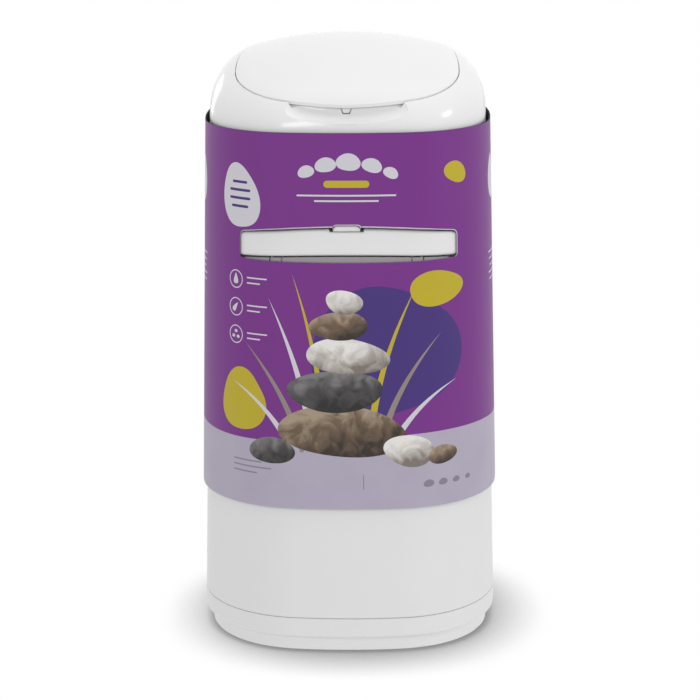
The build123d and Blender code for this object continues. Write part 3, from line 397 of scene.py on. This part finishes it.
def window_outline(grow=0.0):
    """The window with its notch for the release tab, grown all round."""
    left, right = window_middle - window_half - grow, window_middle + window_half + grow
    low_end, high_end = window_low + low_sag - grow, window_top - top_sag + grow
    notch = notch_half + grow

    def arch(places):
        return [(x, sagging(x, window_top, top_sag) + grow, 0) for x in places]

    left_steps = [-x for x in arch_steps]
    floor = [
        (x, sagging(x, window_low, -low_sag) - grow, 0) for x in (*left_steps[::-1], 0, *arch_steps)
    ]
    return rounded([
        (left, low_end, low_corner + grow), *floor, (right, low_end, low_corner + grow),
        (right, high_end, high_corner + grow), *arch((*arch_steps[::-1], notch)),
        (notch, notch_top + grow, notch_corner), (-notch, notch_top + grow, notch_corner),
        *arch((-notch, *left_steps)), (left, high_end, high_corner + grow),
    ])


# %% Where each ink goes, lowest layer first
def wave_line(middle, rise, length, start, end, steps=160):
    """Points of a slow wave along the sheet."""
    spots = []
    for i in range(steps + 1):
        u = start + (end - start) * i / steps
        spots.append((u, middle + rise * math.sin(2 * math.pi * u / length)))
    return spots


band_top, band_rise = 170.6, 3.4
foot_band = wave_line(band_top, band_rise, half_girth, -half_girth, half_girth)
foot_band += [(half_girth, sleeve_low), (-half_girth, sleeve_low)]
layers = [("lavender", foot_band[::-1], None)]


def lay(ink, outline, stone=None):
    """Adds an ink area. stone is (x, z, wide, high) where the print is shaded as a stone."""
    layers.append((ink, outline, stone))


def lay_stone(ink, x, z, wide, high, tilt=0.0, phase=0.6):
    """Adds a shaded pebble."""
    outline = pebble(x, z, wide, high, tilt, ((2, 0.05, phase), (3, 0.035, 2 * phase)))
    lay(ink, outline, (x, z, wide, high))


def lay_ring(x, z, radius, line, field="purple"):
    """A thin off-white ring."""
    lay("off_white", pebble(x, z, radius, radius, waves=(), steps=48))
    lay(field, pebble(x, z, radius - line, radius - line, waves=(), steps=48))


# big quiet shapes behind the pile
lay("indigo", pebble(30, 236, 56, 52, 12, ((2, 0.07, 0.4), (3, 0.06, 1.0)), 96))
lay("mustard", pebble(70, 283, 24, 13, 8, ((2, 0.06, 2.0), (3, 0.05, 0.3))))
lay("mustard", pebble(-84, 196, 21, 24, -20, ((2, 0.05, 1.2), (3, 0.07, 0.2))))
# blades of grass rising behind the stones
grass_foot = 160
for x, length, lean, curl, width, ink in (
    (-34, 96, -14, -34, 5.0, "taupe"), (-26, 122, -6, -22, 5.6, "off_white"),
    (-42, 74, -24, -46, 4.6, "off_white"), (24, 104, 12, 36, 5.2, "taupe"),
    (32, 78, 24, 48, 4.8, "off_white"), (16, 132, 5, 24, 5.6, "mustard"),
    (-16, 138, -3, -16, 5.0, "mustard"),
):
    lay(ink, blade(x, grass_foot, length, lean, curl, width))
# the pile, and small stones at its foot
lay_stone("stone_brown", -4, 176, 47, 20.5, -2, 0.9)
lay_stone("stone_slate", -9, 207, 37, 15.5, 3, 2.2)
lay_stone("stone_white", 0, 233.5, 30, 14, -4, 0.3)
lay_stone("stone_brown", -6, 256.5, 22, 10.8, 5, 1.6)
lay_stone("stone_white", -2, 274.5, 14.5, 8.6, -6, 2.6)
lay_stone("stone_slate", -58, 160, 18, 10.5, 4, 1.0)
lay_stone("stone_white", 47, 160.5, 20, 12, -5, 2.0)
lay_stone("stone_brown", 74, 155.5, 12, 7.6, 6, 0.2)
# off-white stones over the window, and two thin rules
for x, z, wide, high, tilt in (
    (-30, 371, 6.0, 4.6, 20), (-15.5, 376, 7.6, 5.6, 12), (1.5, 378, 8.8, 6.6, 0),
    (19, 375.5, 7.4, 5.4, -12), (33, 370, 5.6, 4.2, -20),
):
    lay("off_white", pebble(x, z, wide, high, tilt))
lay("mustard", bar(0, 362, 34, 5.2))
for level, length in ((353.6, 74), (349.6, 48)):
    lay("off_white", bar(0, level, length, 1.3))
# a striped stone at the upper left, a plain one at the upper right
stone_column = -86
lay("off_white", pebble(stone_column, 350, 17.5, 25, 10, ((2, 0.05, 0.5), (3, 0.06, 1.5))))
for level, length in ((361, 15), (355, 21), (349, 21), (343, 17)):
    lay("indigo", bar(stone_column, level, length, 2.0))
lay("mustard", pebble(88, 368, 11, 8, -15))
# three small ring marks: a drop, a leaf and three grains
u = -90
for z, mark in ((288, "drop"), (267, "leaf"), (246, "grains")):
    lay_ring(u, z, 7.0, 0.8)
    if mark == "drop":
        lay("off_white", blade(u, z - 3.4, 8.4, 0, 0, 5.4))
    elif mark == "leaf":
        lay("off_white", blade(u - 2.6, z - 3.2, 8.2, 28, 20, 4.2))
    else:
        for dx, dz in ((-2.4, -1.4), (2.3, -1.6), (0.1, 2.4)):
            lay("off_white", pebble(u + dx, z + dz, 1.5, 1.3, steps=20))
    lay("off_white", bar(u + 20, z + 2.2, 18, 1.1))
    lay("off_white", bar(u + 17, z - 1.8, 12, 1.1))
# quiet marks in the foot band
rule_start = -92
for level, length in ((150, 26), (145.6, 34), (141.2, 22)):
    lay("grey", bar(rule_start + length / 2, level, length, 1.1))
lay("grey", bar(12, 137, 0.7, 16, 0.4))
for i in range(4):
    lay("grey", pebble(62 + 12 * i, 134, 4.2 - 0.5 * i, 3.0 - 0.3 * i, 10, steps=24))
# sides and back
for side in (-1, 1):
    lay("off_white", pebble(side * 152, 356, 13, 18, 8 * side))
    lay("indigo", pebble(side * 178, 214, 26, 30, 14 * side, ((2, 0.06, 0.8), (3, 0.05, 1.1))))
    lay("mustard", pebble(side * 200, 288, 20, 15, -10 * side))
    for i in range(5):
        lay("off_white", bar(side * 150, 300 - 5.2 * i, 26 - 4 * (i % 3), 1.2))
    for u, z, wide, high in ((282, 352, 16, 11), (300, 250, 24, 20), (268, 206, 14, 10)):
        lay(("off_white", "indigo", "mustard")[int(z) % 3], pebble(side * u, z, wide, high, 9 * side))
print("ink areas:", len(layers))

# %% [markdown]
# ## Cutting the sheet into inks
# A constrained triangulation takes every outline and a fine grid of folds, and returns
# triangles that each lie in known outlines. The last ink laid down wins, as on a press.

# %% Triangulate and bend the print
fold_step, row_step = 4.0, 5.0
rim_width, rim_shift = 0.35, 0.3


def cut_sheet():
    """Triangles of the flat sheet with the ink and the stone that each one belongs to."""
    spots, edges, faces = [], [], []
    columns = round(2 * half_girth / fold_step)
    rows = round((sleeve_high - sleeve_low) / row_step)
    for i in range(columns + 1):
        for k in range(rows + 1):
            if k:
                edges.append((len(spots) - 1, len(spots)))
            u = half_girth * (2 * i / columns - 1)
            spots.append(Vector((u, sleeve_low + (sleeve_high - sleeve_low) * k / rows)))
    for i in range(columns):
        for k in (0, rows):
            edges.append((i * (rows + 1) + k, (i + 1) * (rows + 1) + k))
    rim = [
        (unroll(x + rim_shift, z + rim_shift), z + rim_shift) for x, z in window_outline(rim_width)
    ]
    hole = [(unroll(x, z), z) for x, z in window_outline()]
    rim_index, hole_index = len(layers), len(layers) + 1
    for outline in [outline for _, outline, _ in layers] + [rim, hole]:
        first = len(spots)
        spots.extend(Vector(spot) for spot in outline)
        faces.append(list(range(first, len(spots))))
    cut = geometry.delaunay_2d_cdt(spots, edges, faces, 0, 1e-4)
    kept = []
    for face, origins in zip(cut[2], cut[5]):
        top = max(origins, default=-1)
        if top == hole_index:
            continue
        if top == rim_index:
            kept.append((face, "pale_edge", None))
        elif top < 0:
            kept.append((face, "purple", None))
        else:
            kept.append((face, layers[top][0], layers[top][2]))
    return cut[0], kept


def build_print(above=0.8, aside=0.35):
    """Mesh of the ink skin, one material per ink, its stones lit from above and from the left."""
    spots, areas = cut_sheet()
    bent = [bend(spot.x, spot.y, skin_proud) for spot in spots]
    mesh = bpy.data.meshes.new("sleeve_print")
    turned = []
    for face, ink, stone in areas:
        a, b, c = (spots[i] for i in face)
        if (b - a).cross(c - a) < 0:
            face = face[::-1]
        turned.append((face, ink, stone))
    mesh.from_pydata([point for point, _ in bent], [], [face for face, _, _ in turned])
    names = sorted({ink for _, ink, _ in turned})
    for name in names:
        mesh.materials.append(inks[name])
    shade = mesh.attributes.new("roundness", "FLOAT", "CORNER")
    normals = []
    for polygon, (face, ink, stone) in zip(mesh.polygons, turned):
        polygon.material_index = names.index(ink)
        polygon.use_smooth = True
        for loop, i in zip(polygon.loop_indices, face):
            normals.append(bent[i][1])
            if stone:
                x, z, wide, high = stone
                lift = above * (spots[i].y - z) / high - aside * (spots[i].x - x) / wide
                shade.data[loop].value = 0.5 + 0.5 * lift
            else:
                shade.data[loop].value = 0.5
    mesh.normals_split_custom_set(normals)
    piece = bpy.data.objects.new("sleeve_print", mesh)
    bpy.context.scene.collection.objects.link(piece)
    print("print:", len(mesh.polygons), "triangles,", len(names), "inks")
    return piece


# %% [markdown]
# ## Inks and board
# Offset ink under a thin water-based coat on clay-coated board: even colour with a faint
# fibre cloud, and a soft sheen that only shows at a low angle.

# %% Offset inks on coated board
ink_roughness, ink_ior = 0.42, 1.5
fibre_mm, fibre_relief_mm = 0.9, 0.004
vein_mm, speck_mm, speck_size = 14, 1.6, 0.16
vein_contrast, speck_strength = 1.3, 0.35


def offset_ink(name, light, shade, mottle_mm=26.0):
    """Ink of two close tones in clouds, over board whose fibres lift the surface slightly."""
    material, tree, shader = new_material("offset_ink_" + name)
    place = add_node(tree, "ShaderNodeTexCoord").outputs["Object"]
    clouds = add_node(
        tree, "ShaderNodeTexNoise", {"Vector": place, "Scale": 1000 / mottle_mm, "Detail": 3.0}
    )
    tones = add_node(
        tree, "ShaderNodeMix",
        {0: clouds.outputs["Fac"], 6: paint(light), 7: paint(shade)}, data_type="RGBA",
    )
    tree.links.new(tones.outputs[2], shader.inputs["Base Color"])
    fibre = add_node(
        tree, "ShaderNodeTexNoise", {"Vector": place, "Scale": 1000 / fibre_mm, "Detail": 2.0}
    )
    bump = add_node(
        tree, "ShaderNodeBump",
        {"Height": fibre.outputs["Fac"], "Strength": 1.0, "Distance": fibre_relief_mm * mm},
    )
    tree.links.new(bump.outputs["Normal"], shader.inputs["Normal"])
    shader.inputs["Roughness"].default_value = ink_roughness
    shader.inputs["IOR"].default_value = ink_ior
    return material


def printed_stone(name, light, mid, dark):
    """A stone shown in print: lit from the upper left, with veins and specks."""
    material, tree, shader = new_material("offset_ink_" + name)
    place = add_node(tree, "ShaderNodeTexCoord").outputs["Object"]
    lift = add_node(tree, "ShaderNodeAttribute", attribute_name="roundness").outputs["Fac"]
    veins = add_node(
        tree, "ShaderNodeTexNoise",
        {"Vector": place, "Scale": 1000 / vein_mm, "Detail": 6.0, "Distortion": 1.2},
    )
    spread = add_node(
        tree, "ShaderNodeMath", {0: veins.outputs["Fac"], 1: 0.5}, operation="SUBTRACT"
    )
    push = add_node(
        tree, "ShaderNodeMath",
        {0: spread.outputs[0], 1: vein_contrast, 2: lift}, operation="MULTIPLY_ADD",
    )
    ramp = add_node(tree, "ShaderNodeValToRGB", {"Fac": push.outputs[0]})
    ramp.color_ramp.elements[0].color = paint(dark)
    ramp.color_ramp.elements[0].position = 0.12
    ramp.color_ramp.elements[1].color = paint(light)
    ramp.color_ramp.elements[1].position = 0.86
    ramp.color_ramp.elements.new(0.5).color = paint(mid)
    specks = add_node(tree, "ShaderNodeTexVoronoi", {"Vector": place, "Scale": 1000 / speck_mm})
    dots = add_node(
        tree, "ShaderNodeMath",
        {0: specks.outputs["Distance"], 1: speck_size}, operation="LESS_THAN",
    )
    some = add_node(
        tree, "ShaderNodeMath", {0: dots.outputs[0], 1: speck_strength}, operation="MULTIPLY"
    )
    speckled = add_node(
        tree, "ShaderNodeMix",
        {0: some.outputs[0], 6: ramp.outputs["Color"], 7: paint(dark)}, data_type="RGBA",
    )
    tree.links.new(speckled.outputs[2], shader.inputs["Base Color"])
    shader.inputs["Roughness"].default_value = ink_roughness
    shader.inputs["IOR"].default_value = ink_ior
    return material


inks = {
    "purple": offset_ink("purple", "#772788", "#742585"),
    "lavender": offset_ink("lavender", "#BAB2C3", "#AFA6BB"),
    "mustard": offset_ink("mustard", "#C3B01F", "#BEAA1C"),
    "indigo": offset_ink("indigo", "#42297B", "#3E2775"),
    "off_white": offset_ink("off_white", "#D6D3DB", "#D2CFD8"),
    "taupe": offset_ink("taupe", "#9A8C86", "#8C7D77"),
    "grey": offset_ink("grey", "#8A8494", "#857F90"),
    "pale_edge": offset_ink("pale_edge", "#CFC6D6", "#C9BFD1"),
    "stone_brown": printed_stone("stone_brown", "#A8957F", "#6E5A48", "#2E241D"),
    "stone_slate": printed_stone("stone_slate", "#7E7B7C", "#4A4748", "#1F1D1F"),
    "stone_white": printed_stone("stone_white", "#EDEAE6", "#C5BEB8", "#7F756F"),
}
sleeve_print = build_print()
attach(sleeve_print, "sleeve")

# %% Lip under the handle, its grey a painted shade
handle_low, handle_low_sag, handle_half = 308.6, 3.2, 82.8
lip_half, slits, slit_half = 79.0, (-57.6, -48.2, 48.2, 57.6), 0.45
lip_front, lip_back = -0.75, -1.15
under_window, under_handle, fold_mm = 0.9, 0.3, 3


def build_lip():
    """Board turned up behind the window's lower edge, slit in two places at each side, its grey a
    painted shade for the shaded strip under the handle.
    """
    starts = (-lip_half, *(x + slit_half for x in slits))
    ends = (*(x - slit_half for x in slits), lip_half)
    mesh = bmesh.new()
    for start, end in zip(starts, ends):
        steps = max(2, round((end - start) / fold_mm))
        columns = []
        for i in range(steps + 1):
            x = start + (end - start) * i / steps
            foot = sagging(x, window_low, -low_sag) - under_window
            head = handle_low - handle_low_sag * (x / handle_half) ** 2 - under_handle
            column = []
            for level, proud in (
                (foot, lip_front), (head, lip_front), (head, lip_back), (foot, lip_back)
            ):
                point, _ = bend(unroll(x, level), level, proud)
                column.append(mesh.verts.new(point))
            columns.append(column)
        for near, far in zip(columns, columns[1:]):
            for k in range(4):
                mesh.faces.new((near[k], far[k], far[k - 3], near[k - 3]))
        mesh.faces.new(columns[0])
        mesh.faces.new(columns[-1][::-1])
    bmesh.ops.recalc_face_normals(mesh, faces=mesh.faces)
    data = bpy.data.meshes.new("sleeve_window_lip_painted_shade")
    mesh.to_mesh(data)
    mesh.free()
    piece = bpy.data.objects.new("sleeve_window_lip_painted_shade", data)
    bpy.context.scene.collection.objects.link(piece)
    # the lip's grey is painted shade, standing in for the shade under the handle
    data.materials.append(moulded("lip_grey_painted_shade", "#A29CA1", "#9A9399", 0.7, 0.8, 0.02))
    return piece


sleeve_lip = build_lip()
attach(sleeve_lip, "sleeve")
give(moulded("board_unprinted_black", "#1A191B", "#211F22", 0.75, 0.8, 0.02), "card_sleeve")

# %% [markdown]
# ## The studio
# The pail stands in an even white space. The floor glows white to the camera and darkens only
# where the pail hides the sky close by, which draws the soft contact shadow round its foot.
# Three narrow lamps are seen in the gloss as highlights. Three broad ones only give light.

# %% Floor
shadow_reach, shadow_lean = 0.078, (-0.08, 0.25, 0.96)
hidden_most, hidden_least, shadow_darkest = 0.305, 0.82, 0.27
floor_bounce = 0.78


def studio_floor(side=6.0):
    """White floor whose glow fades under the pail, where nearby surfaces hide the sky."""
    mesh = bpy.data.meshes.new("studio_floor")
    rim = [(-side, -side, 0), (side, -side, 0), (side, side, 0), (-side, side, 0)]
    mesh.from_pydata(rim, [], [(0, 1, 2, 3)])
    floor = bpy.data.objects.new("studio_floor", mesh)
    bpy.context.scene.collection.objects.link(floor)
    material, tree, _ = new_material("painted_white_floor")
    lean = add_node(tree, "ShaderNodeCombineXYZ", dict(zip("XYZ", shadow_lean)))
    hidden = add_node(
        tree, "ShaderNodeAmbientOcclusion",
        {"Distance": shadow_reach, "Normal": lean.outputs["Vector"]}, samples=16,
    )
    shade = add_node(
        tree, "ShaderNodeMapRange",
        {
            "Value": hidden.outputs["AO"], "From Min": hidden_most, "From Max": hidden_least,
            "To Min": shadow_darkest, "To Max": 1.0,
        },
    )
    seen = add_node(tree, "ShaderNodeEmission", {"Strength": shade.outputs["Result"]})
    bounce = add_node(tree, "ShaderNodeEmission", {"Strength": floor_bounce})
    camera_ray = add_node(tree, "ShaderNodeLightPath").outputs["Is Camera Ray"]
    blend = add_node(
        tree, "ShaderNodeMixShader", {0: camera_ray, 1: bounce.outputs[0], 2: seen.outputs[0]}
    )
    output = tree.nodes["Material Output"]
    tree.links.new(blend.outputs[0], output.inputs["Surface"])
    mesh.materials.append(material)


studio_floor()


# %% World and lamps
def studio_world(strength):
    """White to the camera and to reflections, a plain even light to everything else."""
    world = bpy.data.worlds.new("studio_world")
    bpy.context.scene.world = world
    world.use_nodes = True
    tree = world.node_tree
    tree.nodes.clear()
    path = add_node(tree, "ShaderNodeLightPath")
    seen = add_node(
        tree, "ShaderNodeMath",
        {0: path.outputs["Is Camera Ray"], 1: path.outputs["Is Transmission Ray"]},
        operation="MAXIMUM",
    )
    seen = add_node(
        tree, "ShaderNodeMath",
        {0: seen.outputs[0], 1: path.outputs["Is Glossy Ray"]}, operation="MAXIMUM",
    )
    soft, white = (
        add_node(tree, "ShaderNodeBackground", {"Color": paint("#FFFFFF"), "Strength": level})
        for level in (strength, 1.0)
    )
    both = add_node(
        tree, "ShaderNodeMixShader", {0: seen.outputs[0], 1: soft.outputs[0], 2: white.outputs[0]}
    )
    add_node(tree, "ShaderNodeOutputWorld", {"Surface": both.outputs[0]})


lamp_target = (0, 0, 0.40)


def softbox(name, place, wide, high, watts, mirrored=True):
    """A rectangular lamp that faces the pail, and that gloss may or may not mirror."""
    light = bpy.data.lights.new(name, "AREA")
    light.shape = "RECTANGLE"
    light.size, light.size_y = wide, high
    light.energy = watts
    lamp = bpy.data.objects.new(name, light)
    bpy.context.scene.collection.objects.link(lamp)
    lamp.location = place
    aim = Vector(lamp_target) - Vector(place)
    lamp.rotation_euler = aim.to_track_quat("-Z", "Y").to_euler()
    lamp.visible_glossy = mirrored


studio_world(0.45)
softbox("softbox_front", (-0.57, -1.76, 1.20), 0.62, 0.26, 3.2)
softbox("softbox_right", (1.77, -0.40, 1.37), 0.42, 0.26, 2.6)
softbox("softbox_left", (-1.00, 1.73, 0.52), 0.30, 0.50, 1.2)
softbox("softbox_side", (1.80, -1.00, 0.60), 0.9, 1.4, 9.5, mirrored=False)
softbox("softbox_fill", (-1.30, -1.50, 0.70), 1.2, 1.0, 4.0, mirrored=False)
softbox("softbox_top", (0.0, 0.1, 2.2), 1.2, 1.2, 15, mirrored=False)
print("studio ready")
